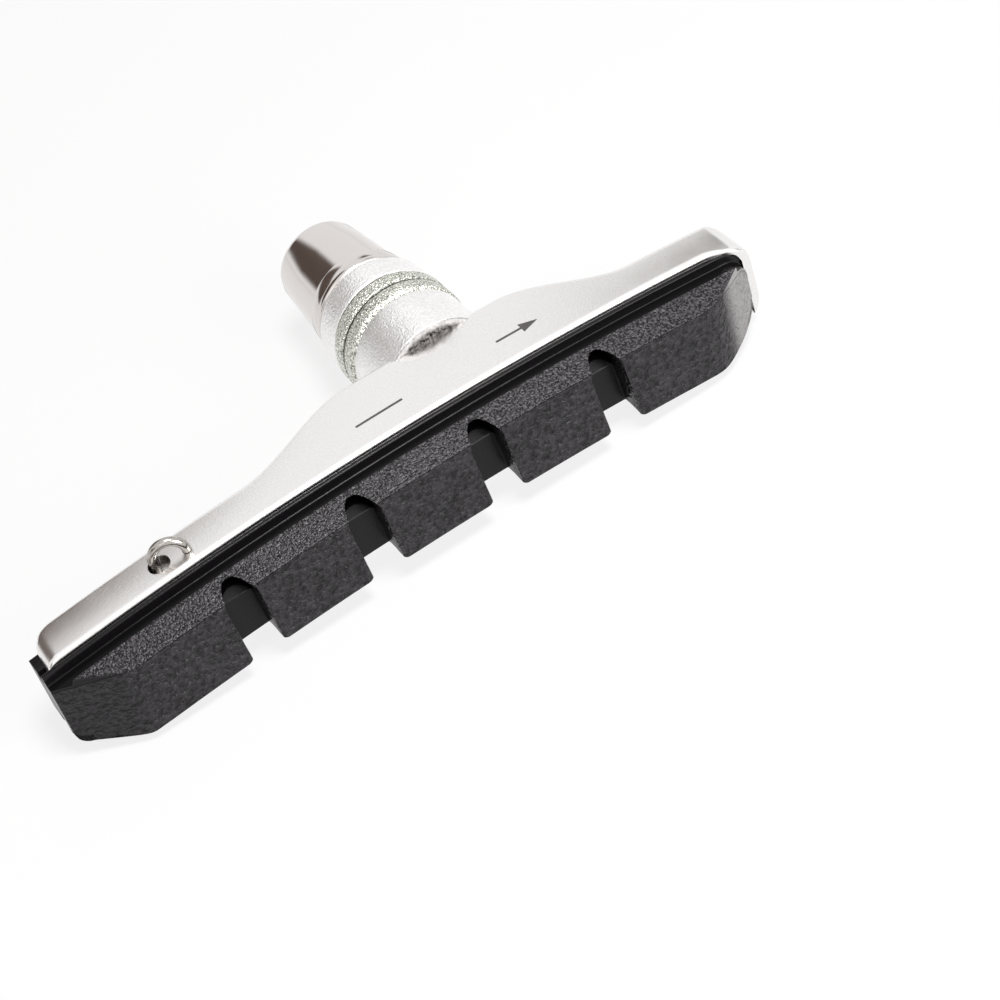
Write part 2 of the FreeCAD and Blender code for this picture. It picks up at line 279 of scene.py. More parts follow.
# %% Section of the pad insert
FACE, BLOCK, FLANGE, ROOT = -STAND, -2.4, -0.65, -0.1  # the face, then the backs of block, groove and flange
BLOCK_TOP, NECK_TOP, NECK_LOW, BLOCK_LOW = 2.8, 3.1, -2.6, -3.2
pad_outline = np.array([
    (FACE, -4.4), (FACE, 0.4), (FACE, BLOCK_TOP), (BLOCK, 3.75), (BLOCK, NECK_TOP), (FLANGE, NECK_TOP),
    (FLANGE, FLANGE_TOP), (ROOT, FLANGE_TOP), (ROOT, 2.7), (1.1, 2.7), (1.1, 3.5), (3.0, 3.5), (3.0, -3.5),
    (1.1, -3.5), (1.1, -2.7), (ROOT, -2.7), (ROOT, -3.85), (FLANGE, -3.85), (FLANGE, NECK_LOW),
    (BLOCK, NECK_LOW), (BLOCK, BLOCK_LOW),
])
pad_round = [0.3, 0.05, 0.18, 0.16, 0.12, 0.15, 0.16, 0.16, 0.08, 0.08, 0.1, 0.2, 0.2, 0.1, 0.08, 0.08,
             0.16, 0.16, 0.15, 0.12, 0.2]
pad_sides = [22, 34, 38, 3, 4, 4, 2, 3, 1, 1, 1, 1, 1, 1, 1, 3, 2, 4, 4, 3, 12]
pad_section = rounded(pad_outline[None], pad_round, pad_sides, arc=4)[0]
print(len(pad_section), "points round the pad's section")

# %% Stations along the pad, closer at the slots and the ends
SLOT_PITCH, SLOT_HALF = 12.2, 1.5
slot_places = ARC_X + (np.arange(4) - 1.5) * SLOT_PITCH
beside_slot = np.array([1.4, 1.44, 1.48, 1.52, 1.56, 1.6, 1.68, 1.8, 1.95, 2.15])
near_slot = np.concatenate([np.linspace(-1.36, 1.36, 35), beside_slot, -beside_slot])
stations = np.unique(np.concatenate([
    np.linspace(PAD_REAR, PAD_FRONT, 171),
    np.linspace(PAD_REAR, PAD_REAR + 1.4, 12),
    np.linspace(PAD_FRONT - 2.6, PAD_FRONT, 22),
    (slot_places[:, None] + near_slot).ravel(),
]))
print(len(stations), "stations along the pad, slots at", np.round(slot_places, 2))

# %% Front limit of the pad at its end ramps
LEAN = math.tan(math.radians(2.5))  # the slots and the ends lean a little
RAMP_LONG, RAMP_DEEP = 6.0, 3.5
rise = np.broadcast_to(pad_section[:, 1], (len(stations), len(pad_section)))
ahead = np.broadcast_to(pad_section[:, 0], rise.shape)
leaning = smooth((np.minimum(stations - PAD_REAR, PAD_FRONT - stations) - 7.0) / 5.0)[:, None]
x = stations[:, None] - LEAN * leaning * rise
z = on_arc(x, rise)
rear_part = 1.0 - (x - PAD_REAR - 2 * LEAN * z) / RAMP_LONG
front_part = 1.0 - (PAD_FRONT + LEAN * z - x) / RAMP_LONG
ramp = RAMP_DEEP * np.maximum(rear_part, np.sign(front_part) * np.abs(front_part) ** 1.25)
limit = FACE + (ramp + np.sqrt(ramp ** 2 + 0.16)) / 2
fill = smooth((2.2 - RAMP_LONG * (1.0 - np.maximum(rear_part, front_part))) / 0.5)
print("share of points on the end ramps", round(float((ramp > 0).mean()), 3))

# %% Slots of the pad, each with a low tongue and a pocket behind it
in_block = ahead < -2.3
lift, pocket, slotted, floored = 0.0 * x, 0.0 * x, 0.0 * x, 0.0 * x
for slot_x in slot_places:
    height = z - on_arc(slot_x, 0.0)
    across = x - slot_x + LEAN * height
    arch = np.hypot(across, np.maximum(height - 2.04, 0.0)) - SLOT_HALF
    inside = smooth(0.5 - arch / 0.16)
    tongue = np.hypot(across / 1.62, np.maximum(height - 0.35, 0.0) / 1.4) - 1.0
    on_tongue = smooth(0.5 - tongue / 0.07)
    shelf = 2.1 + np.clip(height - 0.92, 0.0, 1.2)
    behind = 3.95 - 1.6 * smooth((height - 2.85) / 0.15)
    limit = np.maximum(limit, FACE + (on_tongue * shelf + (1 - on_tongue) * behind) * inside)
    lift = np.maximum(lift, drop(np.maximum(np.abs(across) - SLOT_HALF, 0.0), 0.6) * (1 - inside))
    pocket = np.maximum(pocket, inside * (1 - on_tongue) * in_block)
    slotted = np.maximum(slotted, inside)
    floored = np.maximum(floored, inside * on_tongue * in_block)
print("share of points in the slots", round(float(slotted.mean()), 3))

# %% Points of the pad, pushed back to the limit
TOP_SLOPE, LOW_SLOPE = 0.38, 0.48  # how fast the block's upper and lower sides spread towards its back
pushed = np.where(ahead < -0.7, np.maximum(ahead, limit), ahead)
trimmed = pushed > ahead + 1e-6
block = pushed < -2.39
neck_sole = NECK_LOW - 0.6 * fill
roof = np.where(block, BLOCK_TOP + (pushed - FACE) * TOP_SLOPE, NECK_TOP)
sole = np.where(block, BLOCK_LOW + (pushed - BLOCK) * LOW_SLOPE, neck_sole)
neck = (ahead > -2.45) & (ahead < -0.6) & (rise < -2.5)
shaped = np.where(trimmed, np.clip(rise, sole, roof), np.where(neck, np.minimum(rise, neck_sole), rise))
shaped = shaped + np.where(block, lift, 0.0) * smooth((-2.0 - shaped) / 1.5)
shaped = shaped - drop(PAD_FRONT - x, 1.5) * smooth((shaped - 1.2) / 1.5)
low_round = np.maximum(drop(PAD_FRONT - x, 2.4), drop(x - PAD_REAR, 1.1))
shaped = shaped + low_round * smooth((-1.0 - shaped) / 1.6)
print("share of points pushed back", round(float(trimmed.mean()), 3))

# %% Pad insert, with the marks that tell its places apart
moulded = 1 - smooth((pushed - ahead - 0.05) / 0.25)
on_slope = smooth((rise - 2.7) / 0.12) * smooth((-2.3 - ahead) / 0.1) * moulded
on_face = smooth((-4.7 - ahead) / 0.1) * (1 - slotted) * (1 - on_slope) * (1.0 - 0.3 * smooth(rear_part * 3))
# Painted shade: the groove and the pockets behind the slots are marked for a darker tint.
groove_shade = np.maximum(((ahead > -2.38) & (ahead < -0.66)).astype(float), pocket)
smooth_skin = np.maximum(((ahead > -0.75) & (ahead < -0.05)).astype(float), 0.25 * floored)
# Painted reflection: the front ramp is marked for a pale colour that stands in for the bright floor it mirrors.
on_ramp = smooth((front_part - 0.25) / 0.35) * in_block * (1 - on_slope)
pad = piece(
    "pad_rubber", np.stack([x, LIP + pushed, on_arc(x, shaped)], axis=-1), caps=True, sharp=70.0,
    marks={"slope": on_slope, "face": on_face, "groove": groove_shade, "ramp_reflection": on_ramp, "skin": smooth_skin},
)
print("share of points on the face", round(float(on_face.mean()), 3), "on the slope", round(float(on_slope.mean()), 3))

# %% [markdown]
# ## Washers and nut
# Cups, domes, washer and nut are turned parts, so each is a profile turned about the stud. The nut's socket is
# the one place that isn't round: there the radius follows a hexagon, flats over the cosine of the angle. A Screw
# modifier could turn the profiles too, but here each point's shade is worked out from its radius and height.


# %% Ball seats
BORE, DOME_BORE = 3.08, 4.2  # radii of the holes; the domes' is wide, so that they can tilt
CUP_BALL, DOME_BALL = 9.1, 9.0  # radii of the hollows and of the domes


def ball_points(centre, radius, r0, r1, side, count=9):
    """Points on a sphere from radius r0 to r1 about the stud: y is the centre less the root of R squared less
    r squared, and the side's sign puts them before or behind the clamp."""
    r = np.linspace(r0, r1, count)
    y = side * (centre - np.sqrt(radius ** 2 - r ** 2))
    return list(zip(r, y))


# %% Inner cup washer
hollow_r = CUP_R - 0.27
cup_hollow = ball_points(BALL, CUP_BALL, hollow_r, BORE, 1)
seat_face = [(r, SEAT) for r in np.linspace(4.3, CUP_R - 0.15, 9)]
seat_edge = [(CUP_R - 0.05, SEAT + 0.04), (CUP_R, SEAT + 0.15)]
cup_profile = [(BORE, SEAT)] + seat_face + seat_edge + [(CUP_R, -CUP_RIM)] + cup_hollow
cup_round = np.array([0.2] + [0.03] * (len(seat_face) + len(seat_edge)) + [0.2] * (1 + len(cup_hollow)))


def painted_seat_shade(r, y):
    """Painted shade on the flat seat side, where the cup meets the holder: one there, 0.7 at its edge, and nothing on
    the other sides.
    """
    return (0.7 + 0.3 * smooth((CUP_R - 0.25 - r) / 0.5)) * (y < SEAT + 0.1)


inner_cup = lathe("inner_cup", cup_profile, cup_round, shade=painted_seat_shade)


# %% Dome washers
def painted_joint_shade(r, y):
    """Painted shade: one at the outer edge of the narrow joint between the two domes, which little light reaches."""
    return smooth((0.2 - np.abs(y)) / 0.15) * smooth((r - DOME_R + 0.4) / 0.15)


DOME_GAP = 0.02  # each dome's flat lies this far from the clamp's plane
inner_face = ball_points(BALL, DOME_BALL, DOME_R, DOME_BORE, 1)
inner_flat = [(DOME_BORE, -DOME_GAP), (DOME_R, -DOME_GAP)]
inner_dome = lathe("inner_dome", inner_flat + inner_face, 0.4, shade=painted_joint_shade)
outer_face = ball_points(BALL, DOME_BALL, DOME_R, DOME_BORE, -1)
outer_flat = [(DOME_BORE, DOME_GAP), (DOME_R, DOME_GAP)]
outer_dome = lathe("outer_dome", outer_flat + outer_face, 0.4, shade=painted_joint_shade)

# %% Outer cup washer and flat washer
outer_hollow = ball_points(BALL, CUP_BALL, hollow_r, BORE, -1)
outer_back = [(BORE, WASHER), (OUTER_R - 0.7, WASHER), (OUTER_R, WASHER - 0.7), (OUTER_R, CUP_RIM)]
outer_cup = lathe("outer_cup", outer_back + outer_hollow, 0.25)
RING_R, ring_low, ring_high = 5.45, WASHER + 0.02, NUT - 0.02
ring_profile = [(BORE, ring_low), (RING_R, ring_low), (RING_R, ring_high), (BORE, ring_high)]
flat_ring = lathe("flat_ring", ring_profile, 0.25)

# %% Nut with its hexagon socket: radius, y, and how far the radius follows the hexagon
NUT_BORE, SOCKET, SOCKET_NECK = 3.06, 2.5, 2.4
nut_profile = np.array([
    (NUT_BORE, NUT, 0), (5.15, NUT, 0), (5.2, NUT + 0.12, 0), (5.2, NUT + 1.35, 0), (5.13, NUT + 1.5, 0),
    (5.04, NUT + 1.62, 0), (4.75, (NUT + NUT_END) / 2 + 0.5, 0), (4.42, NUT_END - 0.6, 0),
    (4.33, NUT_END - 0.28, 0), (4.16, NUT_END - 0.08, 0), (3.92, NUT_END, 0), (3.0, NUT_END, 0),
    (2.9, NUT_END - 0.06, 0.2), (SOCKET, NUT_END - 0.42, 1), (SOCKET, NUT_END - 3.62, 1),
    (2.46, NUT_END - 3.69, 0.9), (SOCKET_NECK, NUT_END - 3.7, 0), (SOCKET_NECK, NUT_END - 3.9, 0),
    (NUT_BORE, NUT_END - 3.9, 0),
])
turn = np.linspace(0.0, 2 * np.pi, 192, endpoint=False)[:, None]
from_flat = np.mod(turn + np.pi / 6, np.pi / 3) - np.pi / 6
hexagon = SOCKET / np.cos(from_flat)
weight = nut_profile[None, :, 2]
r = nut_profile[None, :, 0] * (1 - weight) + hexagon * weight
nut_grid = np.stack([r * np.sin(turn), nut_profile[None, :, 1] + 0 * turn, r * np.cos(turn)], axis=-1)
nut = piece("socket_nut", nut_grid, wrap_rows=True, sharp=32.0)

# %% [markdown]
# ## The threaded stud
# The M6 thread shows once the nut is loosened. A screw thread is a height over the plain cylinder that depends
# on one number: the distance along the stud less the pitch times the turned angle. A triangle wave of that
# number, cut flat at crest and root, gives the ridges. A tooth wound up by a Screw modifier is the other way,
# but its two ends would need repair.

# %% Threaded stud
STUD_R, THREAD_DEEP, PITCH, HEAD_R = 2.98, 0.5, 1.0, 4.3
HEAD_LOW, HEAD_TOP = -12.3, -10.7
head_along = [HEAD_LOW, HEAD_LOW, HEAD_TOP, HEAD_TOP]
along = np.concatenate([head_along, np.linspace(-10.68, STUD_END - 0.02, 330), [STUD_END]])
turn = np.linspace(0.0, 2 * np.pi, 72, endpoint=False)[:, None]
wave = np.abs(np.mod(along[None] / PITCH - turn / (2 * np.pi), 1.0) - 0.5) * 2.0
ridge = np.clip(wave * 1.35 - 0.12, 0.0, 1.0)
threaded = smooth((along + 7.2) / 0.8)[None]
r = STUD_R - THREAD_DEEP * (1.0 - ridge) * threaded
r = np.minimum(r, 2.45 + np.maximum(STUD_END - along, 0.0)[None] * 0.9)
r[:, 0], r[:, 1], r[:, 2], r[:, -1] = 0.0, HEAD_R, HEAD_R, 0.0
stud_grid = np.stack([r * np.sin(turn), along[None] + 0 * turn, r * np.cos(turn)], axis=-1)
stud = piece("threaded_stud", stud_grid, wrap_rows=True, wrap_columns=False, sharp=60.0)

# %% [markdown]
# ## The retaining pin
# A bent spring-steel wire holds the pad. A circle carried along the wire's line gives it: up the leg, half a
# turn over the top, and down to the holder. Two fixed directions frame the circle, because the line stays in
# one plane. A curve with a round bevel is the other way; here the two ends can be drawn in, as on cut wire.

# %% Line of the retaining pin
BEND_R, WIRE_R, PIN_TURN = 1.5, 0.425, math.radians(-17)
UPRIGHT = np.array([0.0, 0.0, 1.0])
leg_x, pin_y = HOLE_X - 0.4, LIP + HOLE_IN
aim = np.array([math.cos(PIN_TURN), math.sin(PIN_TURN), 0.0])
leg_top = on_arc(leg_x, HALF) + 0.3
leg_low = on_arc(leg_x, -HALF) - 1.2
foot_x = leg_x + 2 * BEND_R * aim[0]
foot_low = on_arc(foot_x, HALF) + 0.05
bend = np.linspace(np.pi, 0.0, 25)
reach = np.concatenate([np.zeros(12), BEND_R + BEND_R * np.cos(bend), np.full(3, 2 * BEND_R)])
height = np.concatenate([
    np.linspace(leg_low, leg_top - 0.1, 12),
    leg_top + BEND_R * np.sin(bend),
    np.linspace(leg_top - 0.05, foot_low, 3),
])
line = np.array([leg_x, pin_y, 0.0]) + reach[:, None] * aim + height[:, None] * UPRIGHT
print("the pin goes from", round(float(height.min()), 2), "to", round(float(height.max()), 2), "mm")

# %% Retaining pin, a circle carried along its line
ahead = np.gradient(line, axis=0)
ahead /= np.linalg.norm(ahead, axis=1, keepdims=True)
side = np.cross(aim, UPRIGHT)
over = np.cross(ahead, side)
wire = np.full(len(line), WIRE_R)
wire[[0, -1]] = 0.3
round_angle = np.linspace(0.0, 2 * np.pi, 18, endpoint=False)
circle = np.cos(round_angle)[None, :, None] * side + np.sin(round_angle)[None, :, None] * over[:, None]
pin = piece("pin_wire", line[:, None] + wire[:, None, None] * circle, caps=True)

# %% [markdown]
# ## Printed marks
# A short line and an arrow to the front are printed on the top. Each is a thin patch that follows the arc just
# over the metal: a grid between two edges whose distance from the middle is the half width at each x. A pattern
# in the holder's finish could draw them too, but a film keeps its edges crisp however close one looks.


# %% Line and arrow
FILM_OVER, FILM_UNDER = 0.012, -0.08
LINE_HALF, ARROW_HALF = 0.12, 0.66


def patch(name, x, middle, half_width):
    """Thin film on the holder's top: y is the middle plus or minus the half width, and the film's two sides lie
    just over and just under the arc of the metal."""
    across = np.concatenate([np.linspace(-1.0, 1.0, 5), np.linspace(1.0, -1.0, 5)])[None]
    level = np.repeat([FILM_OVER, FILM_UNDER], 5)[None]
    y = middle + half_width[:, None] * across
    xs = x[:, None] + 0 * across
    return piece(name, np.stack([xs, y, on_arc(xs, HALF + level)], axis=-1), caps=True)


line_x = np.linspace(-10.4, -5.7, 24)
mark_line = patch("front_line", line_x, LIP + 2.83, np.full(24, LINE_HALF))
arrow_x = np.concatenate([np.linspace(4.0, 6.55, 14), [6.551], np.linspace(6.6, 8.2, 10)])
arrow_half = np.concatenate([np.full(14, LINE_HALF), ARROW_HALF * np.linspace(1.0, 0.02, 11)])
mark_arrow = patch("front_arrow", arrow_x, LIP + 3.0, arrow_half)

# %% [markdown]
# ## Which body each piece rides on
# The pieces stand for the plain solids, which stay in the physics model and are hidden. Each rides on the body of
# its solid; the two printed films have no solid of their own and ride on the shoe.

# %% Riding and replacing
for made, node, body in (
    (holder, "shoe_holder", "shoe"), (pad, "pad_insert", "shoe"), (stud, "mounting_stud", "shoe"),
    (pin, "retaining_pin", "pin"), (inner_cup, "inner_cup_washer", "inner_cup"),
    (inner_dome, "inner_dome_washer", "inner_dome"), (outer_dome, "outer_dome_washer", "outer_dome"),
    (outer_cup, "outer_cup_washer", "outer_cup"), (flat_ring, "flat_washer", "washer"),
    (nut, "stud_nut", "nut"),
):
    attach(made, body)
    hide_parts(node)
    print(made.name, "rides on", body, "in place of", node)
for made in (mark_line, mark_arrow):
    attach(made, "shoe")

# %% [markdown]
# ## Finishes
# A finish is a small tree of nodes that ends in one shader. One function adds a node: plain values go on its
# sockets, and sockets of other nodes become links. Patterns read Object coordinates, which are metres here,
# so a pattern of a given grain in millimetres has a scale of one over that grain. Pictures of real surfaces are
# the other way, but patterns made of nodes have no seams and stay sharp at any distance.


# %% Node and colour helpers
def add(tree, kind, inputs=None, **settings):
    """Adds one node with its settings; each input takes a value, or a link from another node's socket."""
    made = tree.nodes.new(kind)
    for key, value in settings.items():
        setattr(made, key, value)
    for key, value in (inputs or {}).items():
        if isinstance(value, bpy.types.NodeSocket):
            tree.links.new(value, made.inputs[key])
        else:
            made.inputs[key].default_value = value
    return made


def colour(code):
    """Linear RGBA of an sRGB hex code: the sRGB curve undone for each channel."""
    c = np.array([int(code[i:i + 2], 16) for i in (1, 3, 5)]) / 255.0
    linear = np.where(c <= 0.04045, c / 12.92, ((c + 0.055) / 1.055) ** 2.4)
    return (*linear.tolist(), 1.0)


def finish(name):
    """A new material with an empty tree, and the Object coordinates that its patterns read."""
    material = bpy.data.materials.new(name)
    material.use_nodes = True
    material.node_tree.nodes.clear()
    place = add(material.node_tree, "ShaderNodeTexCoord").outputs["Object"]
    return material, material.node_tree, place


def per_mm(grain):
    """Pattern scale for a grain in millimetres, on coordinates in metres."""
    return 1000.0 / grain


def close(tree, **inputs):
    """Ends a tree with the principled shader on the material's output."""
    shader = add(tree, "ShaderNodeBsdfPrincipled", {key.replace("_", " "): value for key, value in inputs.items()})
    add(tree, "ShaderNodeOutputMaterial", {"Surface": shader.outputs["BSDF"]})


# %% [markdown]
# ### Polished aluminium
# The holder is a die casting, tumbled and polished: to the eye a bright, soft mirror with a fine pearly grain.
# The real grain is under 0.1 mm; it is drawn at 0.17 mm so that it shows. Inside the pin's hole the colour is painted
# dark: painted shade.

# %% Polished aluminium
polished, tree, place = finish("polished_cast_aluminium")
grain = add(tree, "ShaderNodeTexNoise", {"Vector": place, "Scale": per_mm(0.17), "Detail": 2.0}).outputs["Fac"]
cloud = add(tree, "ShaderNodeTexNoise", {"Vector": place, "Scale": per_mm(7.0), "Detail": 2.0}).outputs["Fac"]
rough = add(tree, "ShaderNodeMapRange", {0: cloud, 1: 0.3, 2: 0.7, 3: 0.2, 4: 0.3})
tint = add(tree, "ShaderNodeMix", {0: grain, 6: colour("#e6e4e2"), 7: colour("#f7f5f4")}, data_type="RGBA")
hole = add(tree, "ShaderNodeAttribute", attribute_name="hole").outputs["Fac"]
# Painted shade: inside the pin's hole the metal's colour is darkened.
hole_shaded_tint = add(tree, "ShaderNodeMix", {0: hole, 6: tint.outputs[2], 7: colour("#151413")}, data_type="RGBA")
bump = add(tree, "ShaderNodeBump", {"Height": grain, "Strength": 0.3, "Distance": 0.00002})
close(tree, Base_Color=hole_shaded_tint.outputs[2], Metallic=1.0, Roughness=rough.outputs["Result"], Normal=bump.outputs["Normal"])

# %% [markdown]
# ### Blasted aluminium
# The cup washers are turned from aluminium and blasted with beads, which leaves small round dents that scatter
# light evenly, so the eye sees an even white metal. The dents are drawn at 0.2 mm, about twice their size. On the
# side that sits on the holder the colour darkens to a dark speckle: painted shade where the cup meets the holder.

# %% Blasted aluminium
blasted, tree, place = finish("bead_blasted_aluminium")
dents = add(tree, "ShaderNodeTexNoise", {"Vector": place, "Scale": per_mm(0.2), "Detail": 2.0}).outputs["Fac"]
speck = add(tree, "ShaderNodeTexNoise", {"Vector": place, "Scale": per_mm(0.26), "Detail": 3.0}).outputs["Fac"]
spread = add(tree, "ShaderNodeMapRange", {0: speck, 1: 0.32, 2: 0.66}).outputs["Result"]
shade = add(tree, "ShaderNodeAttribute", attribute_name="shade").outputs["Fac"]
tint = add(tree, "ShaderNodeMix", {0: spread, 6: colour("#efedec"), 7: colour("#fefdfd")}, data_type="RGBA")
# Painted shade: a dark speckle that stands in for the shadow where the cup sits on the holder.
seat_shade_tint = add(tree, "ShaderNodeMix", {0: spread, 6: colour("#0d0c0c"), 7: colour("#6a6765")}, data_type="RGBA")
seat_shaded_tint = add(tree, "ShaderNodeMix", {0: shade, 6: tint.outputs[2], 7: seat_shade_tint.outputs[2]}, data_type="RGBA")
bump = add(tree, "ShaderNodeBump", {"Height": dents, "Strength": 0.7, "Distance": 0.00014})
close(tree, Base_Color=seat_shaded_tint.outputs[2], Metallic=1.0, Roughness=0.4, Normal=bump.outputs["Normal"])

# %% [markdown]
# ### Zinc plate
# The dome washers are steel with a zinc coat: slightly green, with coarse crystals that flash one by one. The
# crystals are drawn at 0.16 to 0.18 mm, coarser than real ones, so that they show. At its outer edge the joint
# between the two domes is darkened: painted shade where little light reaches.

# %% Zinc plated steel
zinc, tree, place = finish("zinc_plated_steel")
crystal = add(tree, "ShaderNodeTexNoise", {"Vector": place, "Scale": per_mm(0.16), "Detail": 2.0}).outputs["Fac"]
patchy = add(tree, "ShaderNodeTexNoise", {"Vector": place, "Scale": per_mm(0.18), "Detail": 3.0}).outputs["Fac"]
spread = add(tree, "ShaderNodeMapRange", {0: patchy, 1: 0.36, 2: 0.6}).outputs["Result"]
shade = add(tree, "ShaderNodeAttribute", attribute_name="shade").outputs["Fac"]
tint = add(tree, "ShaderNodeMix", {0: spread, 6: colour("#83847c"), 7: colour("#f6f7ee")}, data_type="RGBA")
# Painted shade: the outer edge of the joint between the domes is darkened.
joint = add(tree, "ShaderNodeMix", {0: shade, 6: tint.outputs[2], 7: colour("#2b2a27")}, data_type="RGBA")
bump = add(tree, "ShaderNodeBump", {"Height": crystal, "Strength": 0.8, "Distance": 0.0002})
close(tree, Base_Color=joint.outputs[2], Metallic=1.0, Roughness=0.24, Normal=bump.outputs["Normal"])

# %% [markdown]
# ### Chrome plate
# The nut and the flat washer are plated smooth. Chrome is a near mirror, a little warm here, with a trace of
# uneven polish that breaks the reflections.

# %% Chrome plate
chrome, tree, place = finish("chrome_plated_steel")
polish = add(tree, "ShaderNodeTexNoise", {"Vector": place, "Scale": per_mm(1.2), "Detail": 3.0}).outputs["Fac"]
rough = add(tree, "ShaderNodeMapRange", {0: polish, 3: 0.08, 4: 0.18})
close(tree, Base_Color=colour("#dad5d2"), Metallic=1.0, Roughness=rough.outputs["Result"])

# %% [markdown]
# ### Steel of the stud and of the pin
# The stud carries a thin grey zinc coat, slightly mottled; the pin is drawn wire with fine bright lines along
# it. The lines are drawn at 0.12 mm, coarser than real ones.

# %% Stud and wire steel
plain_zinc, tree, place = finish("grey_zinc_steel")
speck = add(tree, "ShaderNodeTexNoise", {"Vector": place, "Scale": per_mm(0.4), "Detail": 4.0}).outputs["Fac"]
tint = add(tree, "ShaderNodeMix", {0: speck, 6: colour("#8d8d88"), 7: colour("#c9c9c3")}, data_type="RGBA")
close(tree, Base_Color=tint.outputs[2], Metallic=1.0, Roughness=0.32)

drawn, tree, place = finish("drawn_spring_steel")
stretch = add(tree, "ShaderNodeMapping", {"Vector": place, "Scale": (1.0, 1.0, 0.06)}).outputs["Vector"]
lines = add(tree, "ShaderNodeTexNoise", {"Vector": stretch, "Scale": per_mm(0.12), "Detail": 2.0}).outputs["Fac"]
tint = add(tree, "ShaderNodeMix", {0: lines, 6: colour("#8a857f"), 7: colour("#d3cec9")}, data_type="RGBA")
bump = add(tree, "ShaderNodeBump", {"Height": lines, "Strength": 0.2, "Distance": 0.00003})
close(tree, Base_Color=tint.outputs[2], Metallic=1.0, Roughness=0.18, Normal=bump.outputs["Normal"])

# %% [markdown]
# ### Moulded rubber
# The pad is a black brake compound moulded in a textured tool. The braking face has a leather-like grain of
# about half a millimetre, the sloped edge a finer and sharper one that glitters, and the slots, the groove and
# the ramps are smoother. Light and shade are also painted into the colour: the grain's ridges lighter than its
# hollows, pale specks on the sloped edge as painted glints beside the bump's own, a pale painted reflection of the
# bright floor on the front ramp, and a darker painted shade in the groove and in the pockets behind the slots.
# The marks of the pad's mesh tell these places apart.

# %% Moulded rubber
rubber, tree, place = finish("moulded_brake_rubber")
slope, face, groove, ramp_reflection, skin = (
    add(tree, "ShaderNodeAttribute", attribute_name=mark).outputs["Fac"]
    for mark in ("slope", "face", "groove", "ramp_reflection", "skin")
)
along_x = add(tree, "ShaderNodeMapping", {"Vector": place, "Scale": (0.7, 1.0, 1.0)}).outputs["Vector"]
leathery = {"Vector": along_x, "Scale": per_mm(0.42), "Detail": 1.5, "Distortion": 0.3}
hide = add(tree, "ShaderNodeTexNoise", leathery).outputs["Fac"]
grit = add(tree, "ShaderNodeTexNoise", {"Vector": place, "Scale": per_mm(0.19), "Detail": 1.0}).outputs["Fac"]
fine = add(tree, "ShaderNodeTexNoise", {"Vector": place, "Scale": per_mm(0.25), "Detail": 3.0}).outputs["Fac"]
ridge = add(tree, "ShaderNodeMapRange", {0: hide, 1: 0.34, 2: 0.7}).outputs["Result"]
spark = add(tree, "ShaderNodeMapRange", {0: grit, 1: 0.42, 2: 0.7}).outputs["Result"]
on_face = add(tree, "ShaderNodeMath", {0: ridge, 1: face}, operation="MULTIPLY").outputs["Value"]
on_slope = add(tree, "ShaderNodeMath", {0: spark, 1: slope}, operation="MULTIPLY").outputs["Value"]
leather = add(tree, "ShaderNodeMath", {0: hide, 1: face}, operation="MULTIPLY").outputs["Value"]
crystals = add(tree, "ShaderNodeMath", {0: grit, 1: slope}, operation="MULTIPLY").outputs["Value"]
relief = add(tree, "ShaderNodeMath", {0: leather, 1: 8.0, 2: crystals}, operation="MULTIPLY_ADD").outputs["Value"]
height = add(tree, "ShaderNodeMath", {0: fine, 1: 0.2, 2: relief}, operation="MULTIPLY_ADD").outputs["Value"]
bump = add(tree, "ShaderNodeBump", {"Height": height, "Strength": 1.0, "Distance": 0.00008})
plain = add(tree, "ShaderNodeMix", {0: fine, 6: colour("#0d0c0d"), 7: colour("#191719")}, data_type="RGBA")
# Painted light and shade: the grain's ridges are lighter and its hollows darker, following the bump's height.
ridge_light_tint = add(tree, "ShaderNodeMix", {0: on_face, 6: plain.outputs[2], 7: colour("#363336")}, data_type="RGBA")
# Painted glints: pale specks on the sloped edge, beside the real glints of its bump.
painted_glint_tint = add(tree, "ShaderNodeMix", {0: on_slope, 6: ridge_light_tint.outputs[2], 7: colour("#5a575a")}, data_type="RGBA")
# Painted reflection: the front ramp turns pale.
ramp_reflected_tint = add(tree, "ShaderNodeMix", {0: ramp_reflection, 6: painted_glint_tint.outputs[2], 7: colour("#8f8c8c")}, data_type="RGBA")
# Painted shade: the groove and the pockets are darkened.
tint = add(tree, "ShaderNodeMix", {0: groove, 6: ramp_reflected_tint.outputs[2], 7: colour("#0b0a0b")}, data_type="RGBA")
shiny = add(tree, "ShaderNodeMath", {0: slope, 1: skin}, operation="MAXIMUM").outputs["Value"]
rough = add(tree, "ShaderNodeMapRange", {0: shiny, 3: 0.3, 4: 0.2})
close(
    tree, Base_Color=tint.outputs[2], Roughness=rough.outputs["Result"], Normal=bump.outputs["Normal"],
    Specular_IOR_Level=0.2,
)

# %% [markdown]
# ### Printing ink
# The marks are pad printed: a flat dark grey with a slightly uneven tone.

# %% Printing ink
ink, tree, place = finish("grey_printing_ink")
tone = add(tree, "ShaderNodeTexNoise", {"Vector": place, "Scale": per_mm(0.5), "Detail": 3.0}).outputs["Fac"]
tint = add(tree, "ShaderNodeMix", {0: tone, 6: colour("#3a3636"), 7: colour("#5e5858")}, data_type="RGBA")
close(tree, Base_Color=tint.outputs[2], Roughness=0.5)

# %% [markdown]
# ### Which piece has which finish
# Pieces made in the same way share one finish, as on the real shoe: both cups, both domes, nut and washer.

# %% Give each piece its finish
for made, material in (
    (holder, polished), (pad, rubber), (stud, plain_zinc), (pin, drawn), (inner_cup, blasted), (outer_cup, blasted),
    (inner_dome, zinc), (outer_dome, zinc), (flat_ring, chrome), (nut, chrome), (mark_line, ink), (mark_arrow, ink),
):
    made.data.materials.append(material)
    print(made.name, "has", material.name)

